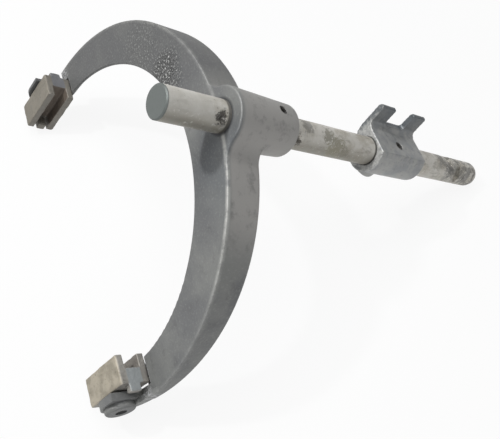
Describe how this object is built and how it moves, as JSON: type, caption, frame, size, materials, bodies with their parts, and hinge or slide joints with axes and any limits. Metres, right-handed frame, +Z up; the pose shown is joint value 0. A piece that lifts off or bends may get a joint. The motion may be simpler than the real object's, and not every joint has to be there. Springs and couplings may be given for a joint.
{
  "type": "shift fork",
  "caption": "Gear shift fork pinned to a sliding rod with a selector bracket, its arms ending in swivelling slotted shoes.",
  "frame": {"origin": "middle of the footprint, on the floor that the object rests on", "axes": "+Z up from the floor; +X from the fork's shoes towards the rod's long end; +Y from the lower shoe of the source to the upper one"},
  "size_m": [0.3454, 0.2722, 0.1786],
  "materials": {
    "forged_fork": "matte forged steel, shot blasted",
    "ground_rod": "ground, satin",
    "machined_bracket": "satin machined casting",
    "worn_shoe": "worn and stained",
    "spring_pin_steel": "dark spring steel",
    "shoe_pin_steel": "dark satin"
  },
  "bodies": {
    "fork_and_rod": {"fork": "forged_fork", "shift_rod": "ground_rod", "selector_bracket": "machined_bracket", "hub_roll_pin": "spring_pin_steel", "bracket_roll_pin": "spring_pin_steel"},
    "lower_shoe_body": {"lower_shoe": "worn_shoe", "lower_shoe_pin": "shoe_pin_steel"},
    "upper_shoe_body": {"upper_shoe": "worn_shoe", "upper_shoe_pin": "shoe_pin_steel"}
  },
  "joints": [
    {"name": "lower_shoe_swivel", "type": "hinge", "parent": "fork_and_rod", "child": "lower_shoe_body", "pos_m": [-0.15618, -0.1259, 0.02139], "axis": [0, 1, 0], "range_deg": [-4, 4]},
    {"name": "upper_shoe_swivel", "type": "hinge", "parent": "fork_and_rod", "child": "upper_shoe_body", "pos_m": [-0.15618, 0.1241, 0.02139], "axis": [0, 1, 0], "range_deg": [-4, 4]}
  ]
}
